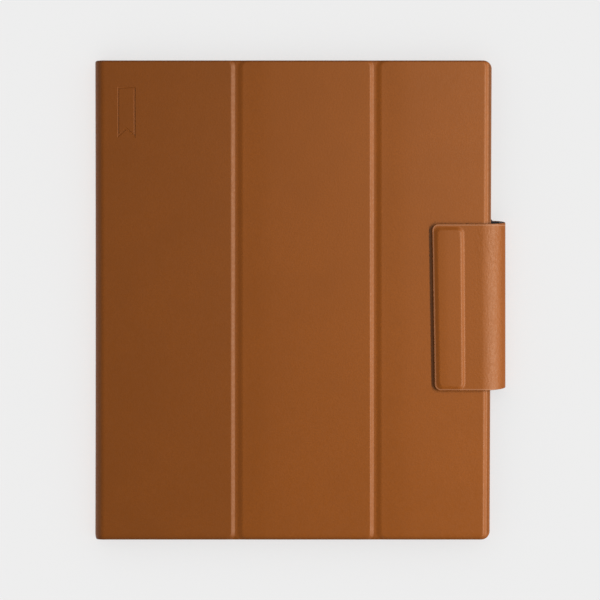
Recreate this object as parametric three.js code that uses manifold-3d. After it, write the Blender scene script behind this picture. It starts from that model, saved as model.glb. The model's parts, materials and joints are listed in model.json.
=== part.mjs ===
// An e-paper reader in a tri-fold leather folio with a magnetic strap.
// Millimetres. +X runs from the spine to the strap, +Y to the top edge, +Z from the back cover to the
// front cover. The origin is the middle of the back cover's outer face, on which the object lies.
// Most layers are flat plates. Leather, linings, spine and strap are cross-sections in the XZ plane
// that run along Y.
import * as THREE from 'three';
import { mergeVertices } from 'three/addons/utils/BufferGeometryUtils.js';
import Module from 'manifold-3d';

const wasm = await Module();
wasm.setup();

// ---------------------------------------------------------------- driving dimensions: folio
const COVER_WIDTH = 189.2;
const COVER_HEIGHT = 229;
const CORNER_FREE = 4;         // plan radius of the corners on the strap side
const CORNER_SPINE = 1;        // plan radius of the corners at the spine
const LEATHER = 0.6;
const BOARD = 1.0;
const LINING = 0.4;
const GLUE_GAP = 0.1;          // between laminated layers
const SLIDE_GAP = 0.1;         // between a lining and the reader
const TURN_IN = 1;             // boards and linings stop this far inside the leather's outline
const SPINE_BOARD = 0.7;
const SPINE_ROUND = 4.6;       // outside radius where the leather turns into the spine
const FOLD_1_FROM_SPINE = 67.9;
const FOLD_2_FROM_SPINE = 134.2;
const FOLD_SHOULDER = 3;       // half the width of a fold's groove
const FOLD_FLAT = 1.6;         // half the width of its flat bottom
const FOLD_DEPTH = 1;
const RIM_SHOULDER = 3.5;      // the free edge has a thin rim outside the board: where its slope starts
const RIM_FLAT = 1.4;          // and where it ends
const JOINT_GAP = 0.15;        // from a joint's axis to the piece on either side

// ---------------------------------------------------------------- driving dimensions: strap
const STRAP_CENTRE_Y = -3.5;
const STRAP_WIDTH = 79.6;
const STRAP_REACH = 7.3;       // how far the strap stands out past the cover's edge
const STRAP_RADIUS = 6;
const STRAP_UPPER_REACH = 11.5; // the upper quarter of the wrap is longer than it is tall
const STRAP_JOINT_TURN = 67.5; // how far the leather has turned at the strap's upper and lower joints
const TONGUE_LENGTH = 11;      // stretch of the strap that is glued inside the back cover
const FLAP_LENGTH = 27.35;     // from the cover's edge to the flap's free end
const FLAP_GAP = 0.3;          // between the flap and the front cover
const FLAP_CORNER = 2.8;
const PAD_LENGTH = 14;         // foot of the stiff, raised pad at the flap's end
const PAD_RIM = 0.85;          // thin leather round the pad's foot: at the flap's end,
const PAD_RIM_LOW = 1.7;       // at its lower edge
const PAD_RIM_HIGH = 2;        // and at its upper edge
const PAD_SLOPE = 2;           // width of the slope from the foot up to the pad's top
const PAD_CORNER = 3;

// ---------------------------------------------------------------- driving dimensions: reader
const READER_WIDTH = 184.5;
const READER_HEIGHT = 225;
const READER_DEPTH = 6.7;
const READER_CORNER = 7;
const READER_SETBACK = 2;      // the cover overhangs the reader on the free sides
const SHELL_WALL = 1.4;
const SHELL_FLOOR = 1;
const BEZEL_DEPTH = 1;
const BEZEL_RIM = 2;
const GLASS = 0.7;
const SCREEN_WIDTH = 157.2;
const SCREEN_HEIGHT = 209.6;
const GRIP_BORDER = 19.5;      // border beside the screen on the spine side
const FIT = 0.3;               // clearance round a piece that sits in another's cut-out

// ---------------------------------------------------------------- levels and edges
const coverLeft = -COVER_WIDTH / 2;
const coverRight = COVER_WIDTH / 2;
const coverTop = COVER_HEIGHT / 2;
const backBoardBottom = LEATHER + GLUE_GAP;
const backBoardTop = backBoardBottom + BOARD;
const backLiningTop = backBoardTop + GLUE_GAP + LINING;
const readerBottom = backLiningTop + SLIDE_GAP;
const readerTop = readerBottom + READER_DEPTH;
const frontLiningBottom = readerTop + SLIDE_GAP;
const frontLiningTop = frontLiningBottom + LINING;
const frontBoardBottom = frontLiningTop + GLUE_GAP;
const frontBoardTop = frontBoardBottom + BOARD;
const frontTop = frontBoardTop + GLUE_GAP + LEATHER;
const foldX = [coverLeft + FOLD_1_FROM_SPINE, coverLeft + FOLD_2_FROM_SPINE];
const readerRight = coverRight - READER_SETBACK;
const readerLeft = readerRight - READER_WIDTH;
const readerHalf = READER_HEIGHT / 2;
const strapRight = coverRight + STRAP_REACH;
const strapCentreZ = backBoardBottom + STRAP_RADIUS;
const strapTop = strapCentreZ + STRAP_RADIUS;
const strapLow = STRAP_CENTRE_Y - STRAP_WIDTH / 2;
const strapHigh = STRAP_CENTRE_Y + STRAP_WIDTH / 2;
const flapLeft = coverRight - FLAP_LENGTH;

// ---------------------------------------------------------------- materials
function finish(color, roughness, metalness = 0) {
  return () => new THREE.MeshStandardMaterial({ color, roughness, metalness });
}
const tanLeather = finish(0x93552f, 0.55);
const blackMicrofibre = finish(0x1d1c1d, 0.95);
const greyBoard = finish(0x8d877c, 0.9);
const nickelMagnet = finish(0xb9bbbf, 0.3, 1);
const steelSheet = finish(0xa5a8ab, 0.35, 1);
const darkPlastic = finish(0x2b2c2e, 0.6);
const blackPlastic = finish(0x151617, 0.5);
const blackInk = finish(0x0e0f10, 0.4);
const coverGlassFinish = finish(0xdfe4e2, 0.2);
const clearAcrylic = finish(0xe9edee, 0.2);
const ePaper = finish(0xc9c8bf, 0.8);
const digitizerFinish = finish(0x7d8388, 0.4, 0.4);
const magnesium = finish(0x8f9295, 0.45, 0.9);
const batteryFoil = finish(0x26292b, 0.35);
const circuitBoard = finish(0x1d4a36, 0.5);
const copperFlex = finish(0xb8742f, 0.4, 0.2);

// ---------------------------------------------------------------- shape helpers
const ARC_STEPS = 6;

/** A closed rectangle with one radius per side: [left corners, right corners]. */
function rectangle(x0, y0, x1, y1, leftRadius = 0, rightRadius = leftRadius) {
  const shape = new THREE.Shape();
  const quarter = Math.PI / 2;
  shape.moveTo(x0 + leftRadius, y0);
  shape.lineTo(x1 - rightRadius, y0);
  if (rightRadius) shape.absarc(x1 - rightRadius, y0 + rightRadius, rightRadius, -quarter, 0);
  shape.lineTo(x1, y1 - rightRadius);
  if (rightRadius) shape.absarc(x1 - rightRadius, y1 - rightRadius, rightRadius, 0, quarter);
  shape.lineTo(x0 + leftRadius, y1);
  if (leftRadius) shape.absarc(x0 + leftRadius, y1 - leftRadius, leftRadius, quarter, 2 * quarter);
  shape.lineTo(x0, y0 + leftRadius);
  if (leftRadius) shape.absarc(x0 + leftRadius, y0 + leftRadius, leftRadius, 2 * quarter, 3 * quarter);
  return shape;
}

function disc(x, y, radius) {
  const shape = new THREE.Shape();
  shape.absarc(x, y, radius, 0, 2 * Math.PI);
  return shape;
}

/** A flat shape in XY made solid from one height to another. */
function plate(shape, bottom, top) {
  const geometry = new THREE.ExtrudeGeometry(shape, {
    depth: top - bottom, bevelEnabled: false, curveSegments: ARC_STEPS,
  });
  return geometry.translate(0, 0, bottom);
}

function block(x0, y0, z0, x1, y1, z1) {
  const geometry = new THREE.BoxGeometry(x1 - x0, y1 - y0, z1 - z0);
  return geometry.translate((x0 + x1) / 2, (y0 + y1) / 2, (z0 + z1) / 2);
}

/** A cross-section of [x, z] points made solid between two values of Y. */
function extrusion(section, y0, y1) {
  const shape = new THREE.Shape(section.map(([x, z]) => new THREE.Vector2(x, z)));
  const geometry = new THREE.ExtrudeGeometry(shape, { depth: y1 - y0, bevelEnabled: false });
  return geometry.rotateX(Math.PI / 2).translate(0, y1, 0);
}

/** Points [x, z] along an arc, in degrees from +X towards +Z. */
function arc(centreX, centreZ, radius, from, to, steps = ARC_STEPS) {
  return Array.from({ length: steps + 1 }, (_, i) => {
    const angle = THREE.MathUtils.degToRad(from + ((to - from) * i) / steps);
    return [centreX + radius * Math.cos(angle), centreZ + radius * Math.sin(angle)];
  });
}

function toSolid(geometry) {
  const bare = geometry.clone();
  bare.deleteAttribute('normal');
  bare.deleteAttribute('uv');
  const merged = mergeVertices(bare, 1e-5);
  return new wasm.Manifold(new wasm.Mesh({
    numProp: 3,
    vertProperties: new Float32Array(merged.attributes.position.array),
    triVerts: new Uint32Array(merged.index.array),
  }));
}

function toGeometry(solid) {
  const mesh = solid.getMesh();
  const geometry = new THREE.BufferGeometry();
  geometry.setAttribute('position', new THREE.BufferAttribute(mesh.vertProperties, 3));
  geometry.setIndex(new THREE.BufferAttribute(mesh.triVerts, 1));
  return geometry;
}

function cut(geometry, ...cutters) {
  return toGeometry(cutters.reduce((rest, cutter) => rest.subtract(toSolid(cutter)), toSolid(geometry)));
}

function common(geometry, other) {
  return toGeometry(toSolid(geometry).intersect(toSolid(other)));
}

function join(geometry, ...others) {
  return toGeometry(others.reduce((whole, other) => whole.add(toSolid(other)), toSolid(geometry)));
}

const reader = new THREE.Group();
const group = new THREE.Group();

function addTo(parent, name, geometry, material) {
  const mesh = new THREE.Mesh(geometry, material());
  mesh.name = name;
  parent.add(mesh);
  return mesh;
}

function add(name, geometry, material) {
  return addTo(group, name, geometry, material);
}

// ---------------------------------------------------------------- folio: covers
const coverPlan = plate(
  rectangle(coverLeft, -coverTop, coverRight, coverTop, CORNER_SPINE, CORNER_FREE), -1, strapTop + 1,
);

/** A cross-section as tall as the cover, trimmed to the cover's outline. */
function coverStrip(section) {
  return common(extrusion(section, -coverTop - 1, coverTop + 1), coverPlan);
}

/** A board or lining inside the cover's outline. */
function innerPlate(x0, x1, bottom, top, rightRadius = 0) {
  const y = coverTop - TURN_IN;
  return plate(rectangle(x0, -y, x1, y, 0, rightRadius), bottom, top);
}

const roundX = coverLeft + SPINE_ROUND;
const roundLowZ = SPINE_ROUND;
const roundHighZ = frontTop - SPINE_ROUND;
const spineInner = SPINE_ROUND - LEATHER;
const spineJointTrim = 2;      // degrees left free on either side of a spine joint

function backCover() {
  const boardLeft = roundX + TURN_IN;
  const boardRight = coverRight - TURN_IN;
  const skin = [
    ...arc(roundX, roundLowZ, SPINE_ROUND, -135 + spineJointTrim, -90),
    [coverRight, 0],
    [coverRight, LEATHER],
    ...arc(roundX, roundLowZ, spineInner, -90, -135 + spineJointTrim),
  ];
  add('back_skin', coverStrip(skin), tanLeather);

  const magnetSlots = magnetPlans.map((plan) => plate(grow(plan, FIT), 0, readerBottom));
  const tongueSlot = block(
    coverRight - TONGUE_LENGTH - FIT, strapLow - FIT, 0, coverRight + 1, strapHigh + FIT, backBoardTop + 1,
  );
  const board = innerPlate(boardLeft, boardRight, backBoardBottom, backBoardTop, CORNER_FREE - TURN_IN);
  add('back_board', cut(board, tongueSlot, ...magnetSlots), greyBoard);
  add('back_lining', innerPlate(
    boardLeft, boardRight, backBoardTop + GLUE_GAP, backLiningTop, CORNER_FREE - TURN_IN,
  ), blackMicrofibre);
}

// Two bar magnets in the back cover hold two more inside the reader's back.
const MAGNET_BAR_WIDTH = 6;
const MAGNET_BAR_LENGTH = 90;
const magnetBarX = [-62, 62];
const magnetPlans = magnetBarX.map((x) => ({
  x0: x - MAGNET_BAR_WIDTH / 2,
  y0: -MAGNET_BAR_LENGTH / 2,
  x1: x + MAGNET_BAR_WIDTH / 2,
  y1: MAGNET_BAR_LENGTH / 2,
}));

function grow(plan, by) {
  return rectangle(plan.x0 - by, plan.y0 - by, plan.x1 + by, plan.y1 + by);
}

function backMagnets() {
  const names = ['back_magnet_left', 'back_magnet_right'];
  magnetPlans.forEach((plan, i) => {
    add(names[i], plate(grow(plan, 0), backBoardBottom, backBoardTop), nickelMagnet);
  });
}

function spine() {
  const low = -135 - spineJointTrim;
  const high = 135 + spineJointTrim;
  const skin = [
    ...arc(roundX, roundLowZ, SPINE_ROUND, low, -180),
    ...arc(roundX, roundHighZ, SPINE_ROUND, 180, high),
    ...arc(roundX, roundHighZ, spineInner, high, 180),
    ...arc(roundX, roundLowZ, spineInner, -180, low),
  ];
  add('spine_skin', coverStrip(skin), tanLeather);
  const boardX = coverLeft + LEATHER + FIT;
  const boardLow = roundLowZ - TURN_IN;
  const boardHigh = roundHighZ + TURN_IN;
  const y = coverTop - TURN_IN;
  add('spine_board', block(boardX, -y, boardLow, boardX + SPINE_BOARD, y, boardHigh), greyBoard);
  const liningX = boardX + SPINE_BOARD + GLUE_GAP;
  add('spine_lining', block(liningX, -y, boardLow, liningX + LINING, y, boardHigh), blackMicrofibre);
}

// ---------------------------------------------------------------- folio: front cover's three panels
const webTop = frontTop - FOLD_DEPTH;
const webBottom = webTop - LEATHER;

/** The leather's outside from left to right: an edge, or a shoulder that runs down into a fold. */
function panelSkin(left, right) {
  const outside = [];
  const inside = [];
  if (left === null) {
    outside.push(...arc(roundX, roundHighZ, SPINE_ROUND, 135 - spineJointTrim, 90));
    inside.push(...arc(roundX, roundHighZ, spineInner, 135 - spineJointTrim, 90));
  } else {
    outside.push(
      [left + JOINT_GAP, webTop],
      [left + FOLD_FLAT, webTop],
      [left + FOLD_SHOULDER, frontTop],
    );
    inside.push(
      [left + JOINT_GAP, webBottom],
      [left + FOLD_FLAT + LEATHER / 2, webBottom],
      [left + FOLD_SHOULDER + LEATHER / 2, frontTop - LEATHER],
    );
  }
  if (right === null) {
    outside.push(
      [coverRight - RIM_SHOULDER, frontTop],
      [coverRight - RIM_FLAT, webTop],
      [coverRight, webTop],
    );
    inside.push(
      [coverRight - RIM_SHOULDER - LEATHER / 2, frontTop - LEATHER],
      [coverRight - RIM_FLAT - LEATHER / 2, webBottom],
      [coverRight, webBottom],
    );
  } else {
    outside.push(
      [right - FOLD_SHOULDER, frontTop],
      [right - FOLD_FLAT, webTop],
      [right - JOINT_GAP, webTop],
    );
    inside.push(
      [right - FOLD_SHOULDER - LEATHER / 2, frontTop - LEATHER],
      [right - FOLD_FLAT - LEATHER / 2, webBottom],
      [right - JOINT_GAP, webBottom],
    );
  }
  return coverStrip([...outside, ...inside.reverse()]);
}

// The flap's board fills the top of its pad. The keeper plate lies under it, in the third panel's board.
const flapBoardPlan = {
  x0: flapLeft + PAD_RIM + PAD_SLOPE,
  y0: strapLow + PAD_RIM_LOW + PAD_SLOPE,
  x1: flapLeft + PAD_LENGTH + PAD_RIM - PAD_SLOPE,
  y1: strapHigh - PAD_RIM_HIGH - PAD_SLOPE,
};
const KEEPER_THICKNESS = 0.5;
// The sleep magnet's corner nearest to the origin. The reader's sensor lies under the magnet.
const SLEEP_MAGNET = { size: 6, x: readerRight - 12, y: 84 };
const sleepMagnetPlan = {
  x0: SLEEP_MAGNET.x,
  y0: SLEEP_MAGNET.y,
  x1: SLEEP_MAGNET.x + SLEEP_MAGNET.size,
  y1: SLEEP_MAGNET.y + SLEEP_MAGNET.size,
};

function frontPanels() {
  const edges = [null, ...foldX, null];
  for (let i = 0; i < 3; i += 1) {
    const left = edges[i];
    const right = edges[i + 1];
    const name = `panel_${i + 1}`;
    const inset = FOLD_SHOULDER + LEATHER / 2 + GLUE_GAP;
    const boardLeft = left === null ? roundX + TURN_IN : left + inset;
    const boardRight = right === null ? coverRight - RIM_SHOULDER - LEATHER : right - inset;
    const liningLeft = left === null ? roundX : left + JOINT_GAP;
    const liningRight = right === null ? coverRight - TURN_IN : right - JOINT_GAP;
    const corner = right === null ? CORNER_FREE - TURN_IN : 0;
    add(`${name}_skin`, panelSkin(left, right), tanLeather);
    let board = innerPlate(boardLeft, boardRight, frontBoardBottom, frontBoardTop, corner);
    if (i === 2) {
      const plans = [flapBoardPlan, sleepMagnetPlan];
      const pockets = plans.map((plan) => plate(grow(plan, FIT), 0, strapTop));
      board = cut(board, ...pockets);
    }
    add(`${name}_board`, board, greyBoard);
    add(`${name}_lining`, innerPlate(
      liningLeft, liningRight, frontLiningBottom, frontLiningTop, corner,
    ), blackMicrofibre);
  }
  const keeper = plate(grow(flapBoardPlan, 0), frontBoardTop - KEEPER_THICKNESS, frontBoardTop);
  add('keeper_plate', keeper, steelSheet);
  const sleepMagnet = plate(grow(sleepMagnetPlan, 0), frontBoardBottom, frontBoardTop);
  add('sleep_magnet', sleepMagnet, nickelMagnet);
}

// ---------------------------------------------------------------- folio: strap
// The strap's path in the XZ plane: a circle's lower quarter, then an ellipse's upper quarter. An inset
// of 0 is the leather's outside.
const lowerCentreX = strapRight - STRAP_RADIUS;
const upperCentreX = strapRight - STRAP_UPPER_REACH;
const leatherInset = LEATHER;
const liningInset = LEATHER + GLUE_GAP;
const strapInset = liningInset + LINING;
const strapTrim = 1.5;         // degrees left free on either side of a strap joint
const lowerJoint = -STRAP_JOINT_TURN;
const upperJoint = THREE.MathUtils.radToDeg(Math.atan(
  (Math.tan(THREE.MathUtils.degToRad(STRAP_JOINT_TURN)) * STRAP_RADIUS) / STRAP_UPPER_REACH,
));

function strapArc(inset, from, to) {
  const upper = Math.max(from, to) > 0;
  const centreX = upper ? upperCentreX : lowerCentreX;
  const reach = upper ? STRAP_UPPER_REACH : STRAP_RADIUS;
  return arc(0, 0, 1, from, to).map(([x, z]) => [
    centreX + (reach - inset) * x,
    strapCentreZ + (STRAP_RADIUS - inset) * z,
  ]);
}

function strapSolid(section) {
  return extrusion(section, strapLow, strapHigh);
}

function strapBand(outerInset, innerInset, from, to) {
  return strapSolid([...strapArc(outerInset, from, to), ...strapArc(innerInset, to, from)]);
}

function strap() {
  const tongueEnd = lowerJoint - strapTrim;
  const tongueLeft = coverRight - TONGUE_LENGTH;
  add('strap_tongue', strapSolid([
    [tongueLeft, backBoardBottom],
    ...strapArc(0, -90, tongueEnd),
    ...strapArc(liningInset, tongueEnd, -90),
    [tongueLeft, backBoardBottom + liningInset],
  ]), tanLeather);
  const halves = [
    ['strap_lower', lowerJoint + strapTrim, -strapTrim],
    ['strap_upper', strapTrim, upperJoint - strapTrim],
  ];
  for (const [name, from, to] of halves) {
    add(`${name}_skin`, strapBand(0, leatherInset, from, to), tanLeather);
    add(`${name}_lining`, strapBand(liningInset, strapInset, from, to), blackMicrofibre);
  }
}

const flapBoardBottom = frontTop + FLAP_GAP + LINING + GLUE_GAP;
const flapBoardTop = flapBoardBottom + BOARD;
const flapTop = flapBoardTop + GLUE_GAP + LEATHER;
const FLAP_MAGNET_RADIUS = 3.5;
const FLAP_MAGNET_PITCH = 25;

/** The leather over the flap's board, with a slope all round down to the thin leather. */
function flapPad() {
  const plan = flapBoardPlan;
  const foot = rectangle(
    plan.x0 - PAD_SLOPE, plan.y0 - PAD_SLOPE, plan.x1 + PAD_SLOPE, plan.y1 + PAD_SLOPE, PAD_CORNER,
  );
  const pad = new THREE.ExtrudeGeometry(foot, {
    depth: LEATHER,
    bevelThickness: flapTop - strapTop,
    bevelSize: PAD_SLOPE,
    bevelOffset: -PAD_SLOPE,
    bevelSegments: 1,
    curveSegments: ARC_STEPS,
  });
  const underside = strapTop - LEATHER;
  const above = block(flapLeft, strapLow, underside, strapRight, strapHigh, flapTop + 1);
  return common(pad.translate(0, 0, underside), above);
}

function flap() {
  const flapPlan = plate(
    rectangle(flapLeft, strapLow, strapRight, strapHigh, FLAP_CORNER, 0), 0, flapTop + 1,
  );
  const start = upperJoint + strapTrim;
  const skin = [
    [flapLeft, strapTop],
    ...strapArc(0, 90, start),
    ...strapArc(leatherInset, start, 90),
    [flapLeft, strapTop - leatherInset],
  ];
  const pocket = plate(grow(flapBoardPlan, GLUE_GAP), 0, flapBoardTop + GLUE_GAP);
  const thinLeather = common(strapSolid(skin), flapPlan);
  add('flap_skin', cut(join(thinLeather, flapPad()), pocket), tanLeather);
  const lining = [
    [flapLeft, strapTop - liningInset],
    ...strapArc(liningInset, 90, start),
    ...strapArc(strapInset, start, 90),
    [flapLeft, strapTop - strapInset],
  ];
  add('flap_lining', common(strapSolid(lining), flapPlan), blackMicrofibre);

  const magnetX = (flapBoardPlan.x0 + flapBoardPlan.x1) / 2;
  const magnetYs = [-1, 0, 1].map((i) => STRAP_CENTRE_Y + i * FLAP_MAGNET_PITCH);
  const flapDisc = (y, radius) => plate(disc(magnetX, y, radius), flapBoardBottom, flapBoardTop);
  const pockets = magnetYs.map((y) => flapDisc(y, FLAP_MAGNET_RADIUS + FIT));
  const board = plate(grow(flapBoardPlan, 0), flapBoardBottom, flapBoardTop);
  add('flap_board', cut(board, ...pockets), greyBoard);
  magnetYs.forEach((y, i) => {
    add(`flap_magnet_${i + 1}`, flapDisc(y, FLAP_MAGNET_RADIUS), nickelMagnet);
  });
}

// ---------------------------------------------------------------- reader
// The reader is built in a group of its own: its origin is the middle of the reader's back.
const halfW = READER_WIDTH / 2;
const shellTop = READER_DEPTH - BEZEL_DEPTH;
const cavityX = halfW - SHELL_WALL;
const cavityY = readerHalf - SHELL_WALL;
const screenLeft = -halfW + GRIP_BORDER;
const screenBottom = -SCREEN_HEIGHT / 2;

function addReader(name, geometry, material) {
  return addTo(reader, name, geometry, material);
}

function outline(inset, radius = Math.max(READER_CORNER - inset, 0)) {
  const x = halfW - inset;
  const y = readerHalf - inset;
  return rectangle(-x, -y, x, y, radius);
}

// Pieces on the reader's edges, measured from its middle.
const BUTTON = { x: 66, length: 13, height: 2.2, depth: 2.6, proud: 0.5, travel: 0.35 };
const SWITCH = { width: 4.8, depth: 3.2, height: 1.6, gap: 0.05 };
const TRAY = { x: 30, width: 12.4, height: 1.4, length: 15, cap: 1, frame: 1.5 };
const CAGE = { side: 1, wall: 0.6, length: 17, throat: 16 };
const USB = { x: 0, width: 9, height: 2.9, length: 7.4, wall: 0.3, setback: 0.2 };
const USB_CONTACT = { width: 6, height: 0.7, setback: 1.4 };
const EDGE_Z = 2.55;           // middle height of what sits on the edges
const SPEAKER_X = 55;
const PORT_COUNT = 6;
const PORT_PITCH = 2.6;
const PORT_RADIUS = 0.6;
const MIC_X = 24;

function edgeHole(x, y, radius) {
  const cylinder = new THREE.CylinderGeometry(radius, radius, 4 * SHELL_WALL, 12);
  return cylinder.translate(x, y, EDGE_Z);
}

function rearShell() {
  const cavity = plate(outline(SHELL_WALL), SHELL_FLOOR, READER_DEPTH);
  const slot = ({ x, length, width = length, height }) => edgeBlock(
    x, width + 2 * FIT, height + 2 * FIT, cavityY - 1, readerHalf + 1,
  );
  const usbSlot = usbProfile(FIT).translate(0, -readerHalf - 1, 0);
  const ports = [];
  for (const side of [-1, 1]) {
    for (let i = 0; i < PORT_COUNT; i += 1) {
      const x = side * SPEAKER_X + (i - (PORT_COUNT - 1) / 2) * PORT_PITCH;
      ports.push(edgeHole(x, -readerHalf + SHELL_WALL / 2, PORT_RADIUS));
    }
  }
  ports.push(edgeHole(MIC_X, -readerHalf + SHELL_WALL / 2, PORT_RADIUS));
  const tray = plate(outline(0), 0, shellTop);
  const slots = [slot(BUTTON), slot(TRAY), usbSlot];
  addReader('rear_shell', cut(tray, cavity, ...slots, ...ports), darkPlastic);
}

/** The rounded outline of the charging socket, run along +Y from the origin. */
function usbProfile(extra, wall = 0) {
  const w = USB.width / 2 + extra - wall;
  const h = USB.height / 2 + extra - wall;
  const geometry = new THREE.ExtrudeGeometry(
    rectangle(USB.x - w, -h, USB.x + w, h, h - 0.01),
    { depth: USB.length, bevelEnabled: false, curveSegments: ARC_STEPS },
  );
  return geometry.rotateX(-Math.PI / 2).translate(0, 0, EDGE_Z);
}

/** A block centred on x and on the edge pieces' middle height, between two values of Y. */
function edgeBlock(x, width, height, y0, y1) {
  return block(x - width / 2, y0, EDGE_Z - height / 2, x + width / 2, y1, EDGE_Z + height / 2);
}

function edgePieces() {
  const y = -readerHalf + USB.setback;
  const socket = cut(
    usbProfile(0).translate(0, y, 0),
    usbProfile(0, USB.wall).translate(0, y - USB.wall, 0),
  );
  const contact = edgeBlock(
    USB.x, USB_CONTACT.width, USB_CONTACT.height, y + USB_CONTACT.setback, y + USB.length - USB.wall / 2,
  );
  addReader('usb_c_socket', join(socket, contact), steelSheet);

  const buttonOut = readerHalf + BUTTON.proud;
  const buttonIn = buttonOut - BUTTON.depth;
  const button = edgeBlock(BUTTON.x, BUTTON.length, BUTTON.height, buttonIn, buttonOut);
  addReader('power_button', button, darkPlastic);
  const switchTop = buttonIn - BUTTON.travel - SWITCH.gap;
  const powerSwitch = edgeBlock(
    BUTTON.x, SWITCH.width, SWITCH.height, switchTop - SWITCH.depth, switchTop,
  );
  addReader('power_switch', powerSwitch, steelSheet);

  const trayIn = readerHalf - TRAY.length;
  const bayHalf = TRAY.width / 2 - TRAY.frame;
  const bay = plate(rectangle(
    TRAY.x - bayHalf, trayIn + TRAY.frame, TRAY.x + bayHalf, readerHalf - TRAY.cap - TRAY.frame, 0.6,
  ), 0, READER_DEPTH);
  const tray = edgeBlock(TRAY.x, TRAY.width, TRAY.height, trayIn, readerHalf);
  addReader('card_tray', cut(tray, bay), darkPlastic);
  const cage = edgeBlock(
    TRAY.x, TRAY.width + 2 * CAGE.side, TRAY.height + 2 * CAGE.wall, cavityY - CAGE.length, cavityY - FIT,
  );
  const throat = edgeBlock(
    TRAY.x, TRAY.width + 2 * FIT, TRAY.height + 2 * FIT, cavityY - CAGE.throat, cavityY + 1,
  );
  addReader('card_reader', cut(cage, throat), steelSheet);
}

const MID_FRAME_Z = 4.15;
const MID_FRAME = 0.5;
const FILM_GAP = 0.05;         // between the layers of the display
const DISPLAY_Z = MID_FRAME_Z + MID_FRAME + FILM_GAP;
const DISPLAY_MARGIN = 2;      // the display's layers reach this far past what can be seen
const DIGITIZER = 0.25;
const EPAPER = 0.35;
const LIGHT_GUIDE = 0.35;
const LIGHT_STRIP = { width: 2.2, thickness: 0.3 };
const BORDER_PRINT = 0.1;
const BEZEL_GAP = 0.02;        // between the bezel and the shell under it, and the print and the glass
const GLASS_GAP = 0.1;         // between the glass and the bezel round it
const FRAME_HOLE = [-46, -96, 8, -84, 2];

function screenStack() {
  const frame = plate(outline(SHELL_WALL + FIT), MID_FRAME_Z, MID_FRAME_Z + MID_FRAME);
  const frameHole = plate(rectangle(...FRAME_HOLE), 0, READER_DEPTH);
  addReader('mid_frame', cut(frame, frameHole), magnesium);

  const screen = (border) => rectangle(
    screenLeft - border, screenBottom - border,
    screenLeft + SCREEN_WIDTH + border, screenBottom + SCREEN_HEIGHT + border,
  );
  let z = DISPLAY_Z;
  const layers = [
    ['stylus_digitizer', DIGITIZER, digitizerFinish],
    ['epaper_panel', EPAPER, ePaper],
    ['front_light_guide', LIGHT_GUIDE, clearAcrylic],
  ];
  for (const [name, thickness, material] of layers) {
    addReader(name, plate(screen(DISPLAY_MARGIN), z, z + thickness), material);
    z += thickness + FILM_GAP;
  }
  const stripZ = z - FILM_GAP - LIGHT_GUIDE;
  const stripTop = screenBottom - DISPLAY_MARGIN - FIT;
  addReader('light_strip', block(
    screenLeft, stripTop - LIGHT_STRIP.width, stripZ,
    screenLeft + SCREEN_WIDTH, stripTop, stripZ + LIGHT_STRIP.thickness,
  ), copperFlex);

  const glassBottom = READER_DEPTH - GLASS;
  const glassInset = BEZEL_RIM + GLASS_GAP;
  const opening = plate(outline(BEZEL_RIM), 0, READER_DEPTH + 1);
  const bezel = plate(outline(0), shellTop + BEZEL_GAP, READER_DEPTH);
  addReader('front_bezel', cut(bezel, opening), blackPlastic);
  addReader('cover_glass', plate(outline(glassInset), glassBottom, READER_DEPTH), coverGlassFinish);
  const window = plate(screen(0), 0, READER_DEPTH);
  const printTop = glassBottom - BEZEL_GAP;
  const print = plate(outline(glassInset), printTop - BORDER_PRINT, printTop);
  addReader('printed_border', cut(print, window), blackInk);
}

const INNER_FLOOR = SHELL_FLOOR + 0.1;
const COMPONENT_TOP = MID_FRAME_Z - 0.3;

// Each battery runs from x0 to x1, with the same ends along Y.
const BATTERY = { low: -66, high: 46, corner: 2, left: [-70, -8], right: [-4, 58] };

function batteries() {
  for (const side of ['left', 'right']) {
    const [x0, x1] = BATTERY[side];
    const shape = rectangle(x0, BATTERY.low, x1, BATTERY.high, BATTERY.corner);
    addReader(`battery_${side}`, plate(shape, INNER_FLOOR + 0.5, COMPONENT_TOP), batteryFoil);
  }
}

const CIRCUIT = { x: 72, low: -104, high: -72, corner: 2, bottom: 1.1, top: 1.6 };
const SHIELD = { x0: 14, x1: 46, low: -98, high: -76, corner: 1, top: 3.4 };
const SPEAKER = { width: 18, depth: 6.4, corner: 1.5, bottom: 1.9 };
const MICROPHONE = { width: 3, depth: 2.6, bottom: 1.9, top: 3.7 };
const SOCKET_CLEARANCE = 5;

function circuitPieces() {
  const boardPlan = rectangle(-CIRCUIT.x, CIRCUIT.low, CIRCUIT.x, CIRCUIT.high, CIRCUIT.corner);
  const board = plate(boardPlan, CIRCUIT.bottom, CIRCUIT.top);
  const socketNotch = block(
    USB.x - SOCKET_CLEARANCE, -readerHalf, 0,
    USB.x + SOCKET_CLEARANCE, -readerHalf + USB.length + 1.5, READER_DEPTH,
  );
  addReader('main_board', cut(board, socketNotch), circuitBoard);
  addReader('processor_shield', plate(
    rectangle(SHIELD.x0, SHIELD.low, SHIELD.x1, SHIELD.high, SHIELD.corner), CIRCUIT.top + 0.1, SHIELD.top,
  ), steelSheet);

  const wallY = -cavityY + FIT;
  for (const [name, side] of [['speaker_left', -1], ['speaker_right', 1]]) {
    const x = side * SPEAKER_X;
    const shape = rectangle(
      x - SPEAKER.width / 2, wallY, x + SPEAKER.width / 2, -cavityY + SPEAKER.depth, SPEAKER.corner,
    );
    addReader(name, plate(shape, SPEAKER.bottom, COMPONENT_TOP), blackPlastic);
  }
  addReader('microphone', block(
    MIC_X - MICROPHONE.width / 2, wallY, MICROPHONE.bottom,
    MIC_X + MICROPHONE.width / 2, -cavityY + MICROPHONE.depth, MICROPHONE.top,
  ), steelSheet);
}

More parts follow.
